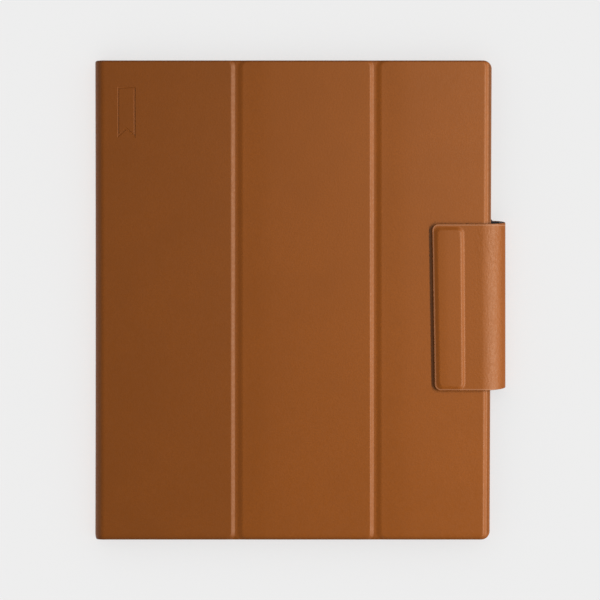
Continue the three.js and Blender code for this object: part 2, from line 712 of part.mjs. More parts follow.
// Thin films and small sensors, each [x0, y0, z0, x1, y1, z1] from the middle of the reader's back.
const SMALL_PIECES = {
  display_flex: { box: [-36, -94, MID_FRAME_Z - 0.2, -4, -86, DISPLAY_Z - 0.1], material: copperFlex },
  antenna: {
    box: [-60, cavityY - 8, INNER_FLOOR, -20, cavityY - 1, INNER_FLOOR + 0.4], material: copperFlex,
  },
  hall_sensor: {
    box: [halfW - 12, 84, MID_FRAME_Z - 1.4, halfW - 8, 88, MID_FRAME_Z - 0.4], material: blackPlastic,
  },
};

function smallPieces() {
  for (const [name, { box, material }] of Object.entries(SMALL_PIECES)) {
    addReader(name, block(...box), material);
  }
}

// Each of the reader's magnets lies over one in the back cover.
const READER_MAGNET = 0.4;

function readerMagnets() {
  const names = ['reader_magnet_left', 'reader_magnet_right'];
  const middle = (readerLeft + readerRight) / 2;
  magnetPlans.forEach((plan, i) => {
    const own = { ...plan, x0: plan.x0 - middle, x1: plan.x1 - middle };
    addReader(names[i], plate(grow(own, 0), INNER_FLOOR, INNER_FLOOR + READER_MAGNET), nickelMagnet);
  });
}

// Four screws hold the mid-frame to the rear shell's floor.
function screws() {
  const shankRadius = 0.8;
  const headRadius = 1.7;
  const headHeight = 0.6;
  const inset = 9;
  const shankBottom = SHELL_FLOOR + 0.1;
  const headBottom = MID_FRAME_Z - 0.05 - headHeight;
  const profile = [
    [0, shankBottom], [shankRadius, shankBottom], [shankRadius, headBottom],
    [headRadius, headBottom], [headRadius, headBottom + headHeight], [0, headBottom + headHeight],
  ].map(([r, z]) => new THREE.Vector2(r, z));
  let count = 0;
  for (const y of [-1, 1]) {
    for (const x of [-1, 1]) {
      count += 1;
      const screw = new THREE.LatheGeometry(profile, 12).rotateX(Math.PI / 2);
      screw.translate(x * (halfW - inset), y * (readerHalf - inset), 0);
      addReader(`screw_${count}`, screw, steelSheet);
    }
  }
}

backCover();
backMagnets();
spine();
frontPanels();
strap();
flap();

rearShell();
edgePieces();
screenStack();
batteries();
circuitPieces();
smallPieces();
readerMagnets();
screws();
reader.position.set((readerLeft + readerRight) / 2, 0, readerBottom);
group.add(reader);

export default group;
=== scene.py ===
import functools
import json
import math

import bmesh
import bpy
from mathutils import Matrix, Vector, noise


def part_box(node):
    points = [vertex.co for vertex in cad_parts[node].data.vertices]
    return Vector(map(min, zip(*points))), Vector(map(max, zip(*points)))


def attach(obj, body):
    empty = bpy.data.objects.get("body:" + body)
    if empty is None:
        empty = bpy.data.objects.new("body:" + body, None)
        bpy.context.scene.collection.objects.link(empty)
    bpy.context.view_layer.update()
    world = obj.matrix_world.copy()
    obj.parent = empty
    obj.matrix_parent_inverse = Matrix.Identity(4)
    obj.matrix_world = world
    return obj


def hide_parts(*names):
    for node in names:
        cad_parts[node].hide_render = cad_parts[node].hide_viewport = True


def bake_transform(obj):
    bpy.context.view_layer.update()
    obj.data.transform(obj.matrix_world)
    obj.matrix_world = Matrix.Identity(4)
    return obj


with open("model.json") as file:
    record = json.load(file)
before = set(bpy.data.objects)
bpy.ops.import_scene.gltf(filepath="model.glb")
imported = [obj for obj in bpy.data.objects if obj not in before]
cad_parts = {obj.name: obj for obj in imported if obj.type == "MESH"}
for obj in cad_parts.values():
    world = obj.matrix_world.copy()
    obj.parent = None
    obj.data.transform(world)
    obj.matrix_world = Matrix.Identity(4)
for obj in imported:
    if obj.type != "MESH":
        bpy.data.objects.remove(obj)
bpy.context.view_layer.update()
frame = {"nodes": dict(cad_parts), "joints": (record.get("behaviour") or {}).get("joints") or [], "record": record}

# An e-paper reader in a closed tri-fold leather folio. Lengths are in millimetres until they reach
# a mesh. Leather and lining are closed slabs between two sheets of points. They are cut into
# pieces where the folio bends. The pieces share their borders, so the leather looks like one skin.
MM = 0.001
joints = {joint["name"]: joint for joint in frame["joints"]}


@functools.cache
def box(node):
    return tuple(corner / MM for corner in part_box(node))


def low(node):
    return box(node)[0]


def high(node):
    return box(node)[1]


def pivot(joint):
    return Vector(joints[joint]["pos_m"]) / MM


# ---------------------------------------------------------------- places, from the frame
LEFT = low("spine_skin").x
RIGHT = high("panel_3_skin").x
TOP = high("panel_3_skin").y
FRONT = high("panel_3_skin").z
FOLDS = (pivot("fold_1").x, pivot("fold_2").x)
WEB = pivot("fold_1").z
SPINE_ROUND = low("panel_1_lining").x - LEFT
FRONT_LINING = low("panel_3_lining").z
BACK_LINING = high("back_lining").z
STRAP_LOW = low("strap_lower_skin").y
STRAP_HIGH = high("strap_lower_skin").y
STRAP_MIDDLE = (STRAP_LOW + STRAP_HIGH) / 2
STRAP_HALF = (STRAP_HIGH - STRAP_LOW) / 2
STRAP_RIGHT = pivot("strap_bend").x
STRAP_CENTRE_Z = pivot("strap_bend").z
STRAP_RADIUS = STRAP_CENTRE_Z - low("strap_tongue").z
STRAP_TOP = STRAP_CENTRE_Z + STRAP_RADIUS
STRAP_THICKNESS = STRAP_TOP - low("flap_lining").z
FLAP_LEFT = low("flap_skin").x
PAD_LOW = low("flap_board")
PAD_HIGH = high("flap_board")

# ---------------------------------------------------------------- the folio's make
SHOULDER = 1.15         # half the width of the slope at a board's right edge, and
SOFT_SHOULDER = 1.6     # at its left edge, where the leather lies less tight: it rises to
SOFT_RISE = 0.6         # this share of its height there, and
SOFT_REACH = 14         # to its full height this far in
FOLD_HALF = 1.8         # from a fold's middle to the edge of the raised leather on its left
SOFT_FOLD_HALF = 1.55   # and on its right
RIM = 2.4               # from the free edge to the board's edge
BOARD_CORNER = 4
BOARD_OVERHANG = 0.6    # how far the boards run past the outline at the top and bottom
CORNER = 4              # plan radius of the cover's free corners
EDGE_RIGHT = 0.7        # how far in the leather's turned edge is round
EDGE_TOP = 0.9
EDGE_BOTTOM = 3.2
BORDER = 2.8            # turned-in leather left bare round the lining
SUNK = 0.15             # the lining stands this far out of the leather around it
BEND_HALF = 7           # half the width of the strip of leather across a fold
BEND_START = 0.6        # it bends between this far left of the fold's axis
BEND_END = 2.2          # and this far right of it, clear of the reader
SPINE_STRAIGHT = 1.6    # the stretch of the spine's upper rounding that doesn't bend
SPINE_FLAT = 1          # how far the spine's leather runs on to the flat of a cover
SPINE_LEATHER = 1.6     # leather and board at the spine
SPINE_LINING = 0.4
BOW = 0.15              # how far the spine is drawn in at its middle
BOW_REACH = 12          # and how far from the spine that dies out
SKEW = 0.5              # how far the free edge leans out at its top and in at its bottom
SKEW_START = 60         # the lean grows from this x to the free edge
SAG = 0.07              # height of the slow waves in the leather
SAG_SIZE = 45           # and how far apart they lie
BACK_SAG_SEED = 90      # the back's waves are not the front's
LINING_EDGE = 0.3       # how far in the lining's edge is round
OVERLAP = 0.05          # linings reach this far into the leather over them

LEATHER = 0.6
BOARD_CLEARANCE = 0.02  # between a board and the leather over it
PAD_SHOULDER = 1.15     # half the width of the slope round the flap's board
PAD_SOFT_SHOULDER = 1.35  # and of the slope at the flap's end
PAD_CORNER = 2.6
PAD_RIM_LOW = 1.1       # from the strap's lower edge to the middle of the pad's slope
PAD_RIM_HIGH = 2.2      # and from its upper edge
PAD_RISE = 1.05
PAD_SOFT_RISE = 0.7     # the share of its height that the pad has at the flap's end
PAD_SOFT_REACH = 7      # and how far in it has all of it
PAD_THICKENING = 0.05   # the leather is this much thicker over the flap's board
FLAP_CORNER = 3
FLAP_FLAT_END = 84      # where the flap's own leather ends and the bending leather begins
STRAP_EDGE = 0.35
STRAP_LINING_EDGE = 0.2
STRAP_LINING_INSET = 0.35
ROOT_LENGTH = 7         # the part of the strap that lies inside the back cover
UPPER_REACH = 11.5      # the upper quarter of the wrap is longer than it is tall,
UPPER_POWER = 1.55      # and a little flatter than an ellipse, whose power is 2
FILLET = 2.2            # plan radius where the strap leaves the back cover
STRAP_SKEW_TOP = 1.8    # how much higher the strap's upper edge lies at its root than at the flap
STRAP_SKEW_BOTTOM = 2.95
FLAP_LEAN = 0.016       # the flap's end leans by this slope, about the point at this y
FLAP_LEAN_Y = -16
FLAP_LEAN_REACH = 20    # and has all of the slope this far from the wrap

# ---------------------------------------------------------------- how fine the meshes are
GRID = 4                # spacing of the points on the flats
FINE = 0.4              # near edges
FOLD_GRID = 1.5         # beside a fold
FOLD_FINE = 0.25        # in it
SPINE_ROUND_STEPS = 14
STRAP_GRID = 1.5
STRAP_FINE = 0.25
STRAP_TURN = 2.5        # degrees between the wrap's columns
CORNER_STEPS = 6        # points across a rounded edge
SMOOTH_ANGLE = 50       # degrees; sharper edges are left sharp
PRESSED_ANGLE = 35
SAME_POINT = 1e-7       # metres; points closer than this are one


# ---------------------------------------------------------------- small sums
def clamp(value):
    return min(max(value, 0.0), 1.0)


def smooth(value):
    t = clamp(value)
    return t * t * (3 - 2 * t)


def steps(start, end, spacing):
    """Evenly spaced numbers from start to end, both included."""
    if start == end:
        return [start]
    count = max(1, math.ceil(abs(end - start) / spacing))
    return [start + (end - start) * i / count for i in range(count + 1)]


def stations(start, end, coarse, *zones):
    """Numbers from start up to end, coarse apart, or closer in zones of (from, to, spacing)."""
    numbers, reached = [start], start
    for zone_start, zone_end, fine in sorted(zones):
        zone_start, zone_end = max(zone_start, reached), min(zone_end, end)
        if zone_end > zone_start:
            numbers += steps(reached, zone_start, coarse)[1:]
            numbers += steps(zone_start, zone_end, fine)[1:]
            reached = zone_end
    return numbers + steps(reached, end, coarse)[1:]


def join_runs(*runs):
    """Runs of rising or falling numbers put end to end, each shared end once."""
    whole = list(runs[0])
    for run in runs[1:]:
        whole += list(run)[1:]
    return whole


def edge_insets(width):
    """Distances in from an edge at which a quarter-round of this width is sampled."""
    turns = [math.pi / 2 * i / CORNER_STEPS for i in range(CORNER_STEPS + 1)]
    return [width * (1 - math.cos(turn)) for turn in turns]


def inside_rectangle(x, y, x0, y0, x1, y1, corner):
    """How far a point lies inside a rectangle with round corners; negative outside it."""
    qx = abs(x - (x0 + x1) / 2) - ((x1 - x0) / 2 - corner)
    qy = abs(y - (y0 + y1) / 2) - ((y1 - y0) / 2 - corner)
    return corner - math.hypot(max(qx, 0), max(qy, 0)) - min(max(qx, qy), 0)


class Outline:
    """The plan of a slab whose free edge is at x = edge, on the side that side (1 or -1) points to.
    Its ends at low and high are free too. The opposite side has no end."""

    def __init__(self, edge, side, low_y, high_y, corner, edge_round, low_round, high_round):
        self.edge, self.side = edge, side
        self.middle = (low_y + high_y) / 2
        self.half = (high_y - low_y) / 2
        self.corner = corner
        self.rounds = (edge_round, low_round, high_round)
        self.drawn_in = 3 * corner

    def fullness(self, x, y):
        """The share of the slab's thickness that is left by its rounded edge: 0 on the outline."""
        across = self.side * (x - self.edge) + self.corner
        along = abs(y - self.middle) - (self.half - self.corner)
        if across > 0 and along > 0:
            reach = math.hypot(across, along)
            distance, facing = self.corner - reach, across / reach
        elif across > along:
            distance, facing = self.corner - across, 1
        else:
            distance, facing = self.corner - along, 0
        end_round = self.rounds[2] if y > self.middle else self.rounds[1]
        width = self.rounds[0] * facing**2 + end_round * (1 - facing**2)
        t = clamp(distance / width)
        return math.sqrt(max(0.0, 1 - (1 - t) ** 2))

    def column(self, x, y):
        """Moves a column of points in where the corner is round."""
        along = abs(y - self.middle) - (self.half - self.corner)
        if along <= 0:
            return x
        cut = self.corner - math.sqrt(max(0.0, self.corner**2 - along**2))
        share = clamp(1 - self.side * (self.edge - x) / self.drawn_in)
        return x - self.side * cut * share

    def rows(self):
        bottom, top = self.middle - self.half, self.middle + self.half
        near = self.corner + 1
        low_edge = [bottom + d for d in edge_insets(self.rounds[1])]
        high_edge = [top - d for d in reversed(edge_insets(self.rounds[2]))]
        between = stations(
            low_edge[-1], high_edge[0], GRID,
            (bottom, bottom + near, FINE), (top - near, top, FINE),
        )
        return join_runs(low_edge, between, high_edge)

    def edge_columns(self, start, spacing):
        """Columns from start to the free edge."""
        near = [self.edge - self.side * d for d in reversed(edge_insets(self.rounds[0]))]
        return join_runs(steps(start, near[0], spacing), near)


# ---------------------------------------------------------------- meshes
def slab(name, columns, rows, faces, material):
    """A closed mesh between two sheets of points. faces(u, v) gives the outer and inner points."""
    bm = bmesh.new()
    sheets = ([], [])
    for u in columns:
        pairs = [faces(u, v) for v in rows]
        for k, sheet in enumerate(sheets):
            sheet.append([bm.verts.new(Vector(pair[k]) * MM) for pair in pairs])
    outer, inner = sheets
    last_u, last_v = len(columns) - 1, len(rows) - 1
    for i in range(last_u):
        for j in range(last_v):
            bm.faces.new((outer[i][j], outer[i + 1][j], outer[i + 1][j + 1], outer[i][j + 1]))
            bm.faces.new((inner[i][j], inner[i][j + 1], inner[i + 1][j + 1], inner[i + 1][j]))
    ring = [(i, 0) for i in range(last_u)] + [(last_u, j) for j in range(last_v)]
    ring += [(i, last_v) for i in range(last_u, 0, -1)] + [(0, j) for j in range(last_v, 0, -1)]
    for (i, j), (k, m) in zip(ring, ring[1:] + ring[:1]):
        bm.faces.new((outer[i][j], inner[i][j], inner[k][m], outer[k][m]))
    bmesh.ops.remove_doubles(bm, verts=bm.verts, dist=SAME_POINT)
    bmesh.ops.recalc_face_normals(bm, faces=bm.faces)
    mesh = bpy.data.meshes.new(name)
    bm.to_mesh(mesh)
    bm.free()
    mesh.shade_smooth()
    mesh.set_sharp_from_angle(angle=math.radians(SMOOTH_ANGLE))
    mesh.materials.append(material)
    piece = bpy.data.objects.new(name, mesh)
    bpy.context.collection.objects.link(piece)
    return piece


def fit_out(piece, slot, nodes, body=None, bend=None):
    """Hides the CAD nodes that a piece replaces, and attaches it to its body, or bakes a bending piece in place.
    slot is not used, nor are the bend's bodies and points.
    """
    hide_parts(*nodes)
    if body:
        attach(piece, body)
    else:
        body_a, body_b, start, end = bend
        Vector(start) * MM
        Vector(end) * MM
        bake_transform(piece)


# ---------------------------------------------------------------- materials
class Shader:
    """A Principled material with short calls for the nodes round it."""

    def __init__(self, name, color, roughness, metallic=0.0, specular=0.5):
        self.material = bpy.data.materials.new(name)
        self.material.use_nodes = True
        self.tree = self.material.node_tree
        self.bsdf = self.tree.nodes["Principled BSDF"]
        self.output = self.tree.nodes["Material Output"]
        self.bsdf.inputs["Base Color"].default_value = (*color, 1)
        self.bsdf.inputs["Roughness"].default_value = roughness
        self.bsdf.inputs["Metallic"].default_value = metallic
        self.bsdf.inputs["Specular IOR Level"].default_value = specular
        self.place = self.node("TexCoord").outputs["Object"]
        self.normal = None

    def node(self, kind):
        return self.tree.nodes.new("ShaderNode" + kind)

    def link(self, source, target):
        self.tree.links.new(source, target)

    def feed(self, socket, value):
        if isinstance(value, (int, float)):
            socket.default_value = value
        else:
            self.link(value, socket)

    def noise(self, size, detail=2.0, roughness=0.5, place=None):
        """Noise from 0 to 1 whose features are about size millimetres across."""
        texture = self.node("TexNoise")
        texture.inputs["Scale"].default_value = 1 / (size * MM)
        texture.inputs["Detail"].default_value = detail
        texture.inputs["Roughness"].default_value = roughness
        self.link(place or self.place, texture.inputs["Vector"])
        return texture.outputs["Fac"]

    def cells(self, size):
        """Distance from the middle of the nearest of many cells about size millimetres across."""
        texture = self.node("TexVoronoi")
        texture.feature = "SMOOTH_F1"
        texture.inputs["Scale"].default_value = 1 / (size * MM)
        texture.inputs["Smoothness"].default_value = 0.6
        self.link(self.place, texture.inputs["Vector"])
        return texture.outputs["Distance"]

    def math(self, operation, a, b=0.0, c=0.0):
        node = self.node("Math")
        node.operation = operation
        for socket, value in zip(node.inputs, (a, b, c)):
            self.feed(socket, value)
        return node.outputs[0]

    def spread(self, value, low_in, high_in, low_out, high_out):
        """A value mapped smoothly from one range to another, and held at its ends."""
        node = self.node("MapRange")
        node.interpolation_type = "SMOOTHSTEP"
        self.feed(node.inputs["Value"], value)
        for socket, number in zip(node.inputs[1:5], (low_in, high_in, low_out, high_out)):
            socket.default_value = number
        return node.outputs[0]

    def axes(self):
        node = self.node("SeparateXYZ")
        self.link(self.place, node.inputs[0])
        return node.outputs

    def blend_color(self, factor, a, b):
        """Colours a and b, each a tuple or a socket, mixed by factor."""
        node = self.node("Mix")
        node.data_type = "RGBA"
        self.feed(node.inputs[0], factor)
        for socket, color in ((node.inputs[6], a), (node.inputs[7], b)):
            if isinstance(color, tuple):
                socket.default_value = (*color, 1)
            else:
                self.link(color, socket)
        return node.outputs[2]

    def tint(self, color, factor):
        """A colour socket made lighter or darker."""
        node = self.node("Mix")
        node.data_type = "RGBA"
        node.blend_type = "MULTIPLY"
        node.inputs[0].default_value = 1.0
        self.link(color, node.inputs[6])
        node.inputs[7].default_value = (factor, factor, factor, 1)
        return node.outputs[2]

    def color(self, value):
        self.link(value, self.bsdf.inputs["Base Color"])

    def roughness(self, value):
        self.link(value, self.bsdf.inputs["Roughness"])

    def bump(self, height, depth):
        """Relief depth millimetres deep; later calls add to earlier ones."""
        node = self.node("Bump")
        node.inputs["Strength"].default_value = 1.0
        node.inputs["Distance"].default_value = depth * MM
        self.link(height, node.inputs["Height"])
        if self.normal:
            self.link(self.normal, node.inputs["Normal"])
        self.normal = node.outputs[0]
        self.link(self.normal, self.bsdf.inputs["Normal"])


EVEN = (0.3, 0.7)       # the range that most of a noise's values lie in
LEATHER_TONE = (0.262, 0.0675, 0.005)
LEATHER_GLOSS = (1.0, 0.78, 0.58)
LEATHER_ROUGHNESS = (0.42, 0.5)
PATCH_SIZE, PATCH_TONES = 25, (0.96, 1.04)      # broad patches of a slightly different tone
SPECK_SIZE, SPECK_RANGE, SPECK_TONE = 0.6, (0.35, 0.7), 0.9
SWELL_SIZE, SWELL_DEPTH = 5, 0.02               # the leather's relief, from coarse to fine
PEBBLE_SIZE, PEBBLE_DEPTH = 0.85, 0.022
PORE_SIZE, PORE_DEPTH = 0.4, 0.012
GLOSS_SIZE = 1.5                                # patches of a slightly different gloss
FIRST_PANEL_SHADE = 0.9  # painted shade: the leather left of the first fold is a little darker
FIRST_PANEL_SHADE_FADE = 3
EDGE_SHADE_TONE = 0.62          # painted shade: the tone of the darkened turned edges
EDGE_SHADE_RIGHT = (1.1, 0.4)      # it grows to full between these distances in from the edge
EDGE_SHADE_TOP = (1.2, 0.3)
EDGE_SHADE_BOTTOM = 2.0            # at the bottom it fades over this distance from the edge,
EDGE_SHADE_BOTTOM_SHARE = 0.8      # and is weaker
STRAP_EDGE_SHADE = 0.25                # painted shade darkens the strap's edge over this width
WRAP_SHADE, WRAP_SHADE_SHARE = 4, 0.5     # and, more weakly, the last stretch of its wrap
# painted highlight: a lighter, greyer line just inside the strap's rim
RIM_HIGHLIGHT_TONE = (0.36, 0.17, 0.09)
RIM_HIGHLIGHT_START = (0.2, 0.4)       # the painted highlight line grows between these distances from the rim,
RIM_HIGHLIGHT_END = (0.6, 1.0)         # and fades between these
RIM_HIGHLIGHT_SHARE = 0.55
WRINKLES = (84, 94)     # the wrinkles begin at the first x and are full at the second
WRINKLE_SIZE, WRINKLE_DEPTH = 1.6, 0.22
WRINKLE_SLANT = -50     # degrees
WRINKLE_STRETCH = 0.35  # scale of the pattern along the wrinkles
WRINKLE_LEAST = 0.25    # their share from the strap's middle down
OPEN_GRAIN_SIZE, OPEN_GRAIN_DEPTH = 1.15, 0.05


def shade(color, factor):
    return tuple(c * factor for c in color)


def leather(name, edge_shade, finish=None):
    """Fine pebbled leather. The second argument, called with the shader, gives 0 on the flat and 1 where painted
    shade darkens an edge.
    finish(shader, color), if given, adds what only this leather has, and returns its colour."""
    shader = Shader(name, LEATHER_TONE, 0.45, specular=0.4)
    shader.bsdf.inputs["Specular Tint"].default_value = (*LEATHER_GLOSS, 1)
    patch = shader.spread(shader.noise(PATCH_SIZE, 3, 0.6), *EVEN, 0, 1)
    color = shader.blend_color(patch, *(shade(LEATHER_TONE, tone) for tone in PATCH_TONES))
    speck = shader.spread(shader.noise(SPECK_SIZE, 3, 0.6), *SPECK_RANGE, 0, 1)
    color = shader.blend_color(speck, color, shade(LEATHER_TONE, SPECK_TONE))
    x, _, z = shader.axes()
    fade_start, fade_end = FOLDS[0] - FIRST_PANEL_SHADE_FADE, FOLDS[0] + FIRST_PANEL_SHADE_FADE
    # painted shade: the front's leather left of the first fold is made darker
    first_panel_shade = shader.math("MULTIPLY",
                              shader.spread(x, fade_start * MM, fade_end * MM, 1, 0),
                              shader.spread(z, BACK_LINING * MM, FRONT_LINING * MM, 0, 1))
    color = shader.blend_color(first_panel_shade, color, shader.tint(color, FIRST_PANEL_SHADE))
    # painted shade darkens the edges picked out by the second argument
    color = shader.blend_color(edge_shade(shader), color, shade(LEATHER_TONE, EDGE_SHADE_TONE))
    shader.color(finish(shader, color) if finish else color)
    shader.roughness(shader.spread(shader.noise(GLOSS_SIZE), *EVEN, *LEATHER_ROUGHNESS))
    shader.bump(shader.noise(SWELL_SIZE), SWELL_DEPTH)
    shader.bump(shader.cells(PEBBLE_SIZE), PEBBLE_DEPTH)
    shader.bump(shader.noise(PORE_SIZE, 2, 0.6), PORE_DEPTH)
    return shader.material


def cover_edge_shade(shader):
    """Painted shade on the covers' turned edges: narrow at the right and top, and wide and softer at the bottom.
    """
    x, y, _ = shader.axes()
    right = shader.spread(x, *((RIGHT - inset) * MM for inset in EDGE_SHADE_RIGHT), 0, 1)
    top = shader.spread(y, *((TOP - inset) * MM for inset in EDGE_SHADE_TOP), 0, 1)
    bottom = shader.spread(y, -TOP * MM, (EDGE_SHADE_BOTTOM - TOP) * MM, EDGE_SHADE_BOTTOM_SHARE, 0)
    return shader.math("MAXIMUM", right, shader.math("MAXIMUM", top, bottom))


def flap_rim(shader):
    """Distance in metres in from the strap's edges and the flap's end, whose corners are round."""
    x, y, _ = shader.axes()
    upright = shader.math("MULTIPLY_ADD", y, FLAP_LEAN, (-FLAP_LEAN * FLAP_LEAN_Y) * MM)
    from_end = shader.math("ADD", shader.math("ADD", x, upright), -FLAP_LEFT * MM)
    from_side = shader.math("SUBTRACT", STRAP_HALF * MM, shader.math(
        "ABSOLUTE", shader.math("ADD", y, -STRAP_MIDDLE * MM)))
    corner = FLAP_CORNER * MM
    past_end = shader.math("MAXIMUM", shader.math("SUBTRACT", corner, from_end), 0.0)
    past_side = shader.math("MAXIMUM", shader.math("SUBTRACT", corner, from_side), 0.0)
    squares = shader.math("ADD", shader.math("MULTIPLY", past_end, past_end),
                          shader.math("MULTIPLY", past_side, past_side))
    return shader.math("SUBTRACT", corner, shader.math("SQRT", squares))


def strap_edge_shade(shader):
    """Painted shade on the strap's cut edges, and on the round of the wrap."""
    rim = shader.spread(flap_rim(shader), 0.0, STRAP_EDGE_SHADE * MM, 1, 0)
    # painted shade, weaker, over the last stretch of the wrap
    wrap_shade = shader.spread(shader.axes()[0], (STRAP_RIGHT - WRAP_SHADE) * MM, STRAP_RIGHT * MM,
                         0, WRAP_SHADE_SHARE)
    return shader.math("MAXIMUM", rim, wrap_shade)


def strap_highlight_and_wrinkles(shader, color):
    """A painted highlight, a lighter and greyer line just inside the edge, and fine wrinkles where the leather
    starts to bend.
    """
    rim = flap_rim(shader)
    # painted highlight: a lighter, greyer line just inside the rim
    rim_highlight = shader.math("MULTIPLY",
                         shader.spread(rim, *(inset * MM for inset in RIM_HIGHLIGHT_START), 0, 1),
                         shader.spread(rim, *(inset * MM for inset in RIM_HIGHLIGHT_END), RIM_HIGHLIGHT_SHARE, 0))
    x, y, _ = shader.axes()
    near = shader.math("MULTIPLY",
                       shader.spread(x, WRINKLES[0] * MM, WRINKLES[1] * MM, 0, 1),
                       shader.spread(y, STRAP_MIDDLE * MM, STRAP_HIGH * MM, WRINKLE_LEAST, 1))
    turned = shader.node("Mapping")
    turned.inputs["Rotation"].default_value = (0, 0, math.radians(WRINKLE_SLANT))
    turned.inputs["Scale"].default_value = (1, WRINKLE_STRETCH, 1)
    shader.link(shader.place, turned.inputs["Vector"])
    lines = shader.noise(WRINKLE_SIZE, 2, 0.6, turned.outputs[0])
    shader.bump(shader.math("MULTIPLY", lines, near), WRINKLE_DEPTH)
    open_grain = shader.spread(x, PAD_HIGH.x * MM, WRINKLES[1] * MM, 0, 1)
    grain = shader.math("MULTIPLY", shader.cells(OPEN_GRAIN_SIZE), open_grain)
    shader.bump(grain, OPEN_GRAIN_DEPTH)
    # mixes in the painted highlight
    return shader.blend_color(rim_highlight, color, RIM_HIGHLIGHT_TONE)


LINING_TONE = (0.016, 0.016, 0.017)
LINING_DARK = (0.011, 0.011, 0.012)
LINING_PALE = (0.022, 0.022, 0.024)
LINING_PATCH = 3
NAP_SIZE, NAP_DEPTH = 0.25, 0.03


def microfibre():
    shader = Shader("black_microfibre", LINING_TONE, 0.95, specular=0.15)
    shader.bsdf.inputs["Sheen Weight"].default_value = 0.25
    shader.bsdf.inputs["Sheen Roughness"].default_value = 0.6
    patch = shader.spread(shader.noise(LINING_PATCH, 3, 0.7), *EVEN, 0, 1)
    shader.color(shader.blend_color(patch, LINING_DARK, LINING_PALE))
    shader.bump(shader.noise(NAP_SIZE, 3, 0.7), NAP_DEPTH)
    return shader.material


HARD_GLOSS_SIZE = 8
UNEVEN = (0.92, 1.08)   # how a hard finish's roughness varies


def plain(name, color, roughness, metallic=0.0, grain=0.4, relief=0.01):
    """A hard finish with a fine grain and slightly uneven gloss."""
    shader = Shader(name, color, roughness, metallic)
    smoother, rougher = (min(1.0, roughness * share) for share in UNEVEN)
    shader.roughness(shader.spread(shader.noise(HARD_GLOSS_SIZE), *EVEN, smoother, rougher))
    shader.bump(shader.noise(grain, 2, 0.6), relief)
    return shader.material


def see_through(name, color, roughness, share, grain=0.3, relief=0.002):
    """Clear sheet: mostly transparent, with a share of gloss."""
    shader = Shader(name, color, roughness, specular=0.8)
    clear = shader.node("BsdfTransparent")
    mix = shader.node("MixShader")
    shader.feed(mix.inputs[0], share)
    shader.link(clear.outputs[0], mix.inputs[1])
    shader.link(shader.bsdf.outputs[0], mix.inputs[2])
    shader.link(mix.outputs[0], shader.output.inputs["Surface"])
    shader.bump(shader.noise(grain), relief)
    return shader.material


PAPER = (0.53, 0.53, 0.49)
INK = (0.045, 0.045, 0.045)
PAPER_GRAIN, PAPER_RELIEF = 0.2, 0.004
PAGE_EDGE = 2           # the panel's own edge, which shows no page
PAGE_SIDE, PAGE_TOP, PAGE_BOTTOM = 15, 22, 18       # the page's margins
LINE_HEIGHT = 6.4
LINE_BAR = 0.28         # the bar's share of a line's height
WORD_LENGTH = 3.4
WORD_GAP = 0.42         # noise below this is a gap
LINE_SHIFT = 17.3       # moves each line to another stretch of the noise
SHORT_LINES, SHORT_BY = 0.18, 60        # the share of lines that end early, and by how much


def page():
    """E-paper that shows a page of greeked text: rows of bars with gaps between the words."""
    shader = Shader("epaper_page", PAPER, 0.85, specular=0.2)
    start, end = low("epaper_panel"), high("epaper_panel")
    left, right = start.x + PAGE_EDGE + PAGE_SIDE, end.x - PAGE_EDGE - PAGE_SIDE
    bottom, top = start.y + PAGE_EDGE + PAGE_BOTTOM, end.y - PAGE_EDGE - PAGE_TOP
    x, y, _ = shader.axes()
    line = shader.math("DIVIDE", y, LINE_HEIGHT * MM)
    row = shader.math("FLOOR", line)
    off_middle = shader.math("ABSOLUTE", shader.math("SUBTRACT", shader.math("FRACT", line), 0.5))
    bar = shader.math("LESS_THAN", off_middle, LINE_BAR / 2)
    joined = shader.node("CombineXYZ")
    shader.link(shader.math("DIVIDE", x, WORD_LENGTH * MM), joined.inputs[0])
    shader.link(shader.math("MULTIPLY", row, LINE_SHIFT), joined.inputs[1])
    words = shader.node("TexNoise")
    words.inputs["Scale"].default_value = 1.0
    words.inputs["Detail"].default_value = 0.0
    shader.link(joined.outputs[0], words.inputs["Vector"])
    ink = shader.math("MULTIPLY", bar,
                      shader.math("GREATER_THAN", words.outputs["Fac"], WORD_GAP))
    ends = shader.node("TexWhiteNoise")
    ends.noise_dimensions = "1D"
    shader.link(row, ends.inputs["W"])
    is_short = shader.math("LESS_THAN", ends.outputs["Value"], SHORT_LINES)
    line_end = shader.math("MULTIPLY_ADD", is_short, -SHORT_BY * MM, right * MM)
    for operation, place, limit in (
        ("GREATER_THAN", x, left * MM), ("LESS_THAN", x, line_end),
        ("GREATER_THAN", y, bottom * MM), ("LESS_THAN", y, top * MM),
    ):
        ink = shader.math("MULTIPLY", ink, shader.math(operation, place, limit))
    shader.color(shader.blend_color(ink, PAPER, INK))
    shader.bump(shader.noise(PAPER_GRAIN), PAPER_RELIEF)
    return shader.material


